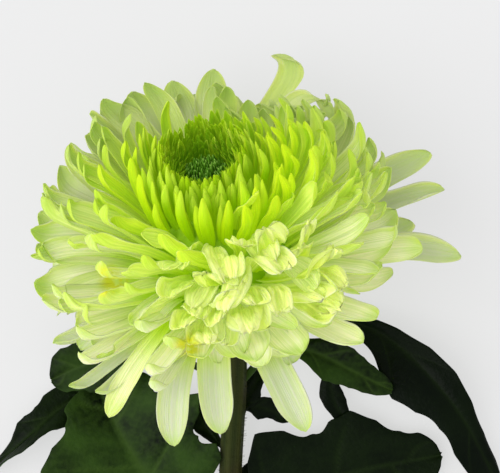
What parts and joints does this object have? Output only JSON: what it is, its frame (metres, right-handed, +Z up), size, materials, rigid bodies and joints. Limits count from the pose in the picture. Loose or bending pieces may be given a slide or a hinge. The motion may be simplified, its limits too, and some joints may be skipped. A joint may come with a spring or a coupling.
{
  "type": "cut green peony chrysanthemum",
  "caption": "Cut green chrysanthemum lying on a surface: a full bloom of incurved petals in layers round a dark green eye, on a short leafy stem.",
  "frame": {"origin": "on the surface that the flower lies on, under one of the petals that the bloom rests on", "axes": "+Z up from the surface, +Y from the cut end of the stem towards the bloom, +X to the right"},
  "size_m": [0.1691, 0.221, 0.1004],
  "materials": {
    "petal": "soft matt living petal, lime green to whitish green with fine parallel veins",
    "floret": "matt dark green unopened florets",
    "bract": "matt green scales with thin paler edges",
    "stem": "ridged green stem with short soft hairs",
    "leaf": "dark green leaf with a waxy sheen and sunken veins"
  },
  "bodies": {
    "root": {"ray_petals": "petal", "eye_florets": "floret", "involucre": "bract", "stem": "stem", "leaf_lower_left": "leaf", "leaf_upper_left": "leaf", "leaf_far_left": "leaf", "leaf_upper_right": "leaf", "leaf_far_right": "leaf", "leaf_lower_right": "leaf"}
  },
  "joints": []
}
